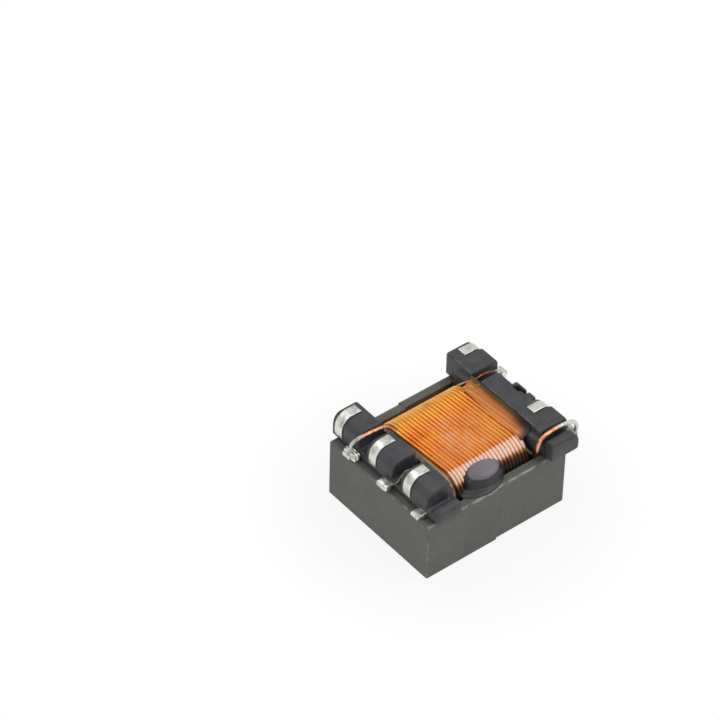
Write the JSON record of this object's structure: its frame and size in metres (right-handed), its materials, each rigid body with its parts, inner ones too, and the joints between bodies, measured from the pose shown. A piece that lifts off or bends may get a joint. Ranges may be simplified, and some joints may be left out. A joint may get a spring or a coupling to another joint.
{
  "type": "surface-mount ferrite transformer",
  "caption": "Low square transformer: copper winding on a moulded bobbin in an open ferrite core, with wrap-over solder pads, wrapping posts and soldered wire ends.",
  "frame": {"origin": "middle of the core's closed back, on the plane it lies on with its open side up", "axes": "+X along the winding axis from the rail with three solder pads to the rail with two; +Z out of the open side, where the solder pads are; -Y towards the side with the adhesive bead"},
  "size_m": [0.0096, 0.0078, 0.0049],
  "materials": {
    "ferrite": "matte ground ferrite, grey with a green cast",
    "moulding": "matte dark moulding compound",
    "magnet_wire": "enamelled copper wire, glossy orange",
    "tape": "amber insulating film",
    "tinned_strip": "satin tin plating",
    "solder": "bright solder",
    "adhesive": "cured dark adhesive, semi-gloss"
  },
  "bodies": {
    "root": {"core_half_front": "ferrite", "core_half_rear": "ferrite", "bobbin": "moulding", "inner_winding": "magnet_wire", "insulation_tape": "tape", "outer_winding": "magnet_wire", "terminal_1": "tinned_strip", "terminal_2": "tinned_strip", "terminal_3": "tinned_strip", "terminal_4": "tinned_strip", "terminal_5": "tinned_strip", "lead_1": "magnet_wire", "lead_2": "magnet_wire", "lead_4": "magnet_wire", "lead_5": "magnet_wire", "solder_joint_1": "solder", "solder_joint_2": "solder", "solder_joint_4": "solder", "solder_joint_5": "solder", "adhesive_bead": "adhesive"}
  },
  "joints": []
}
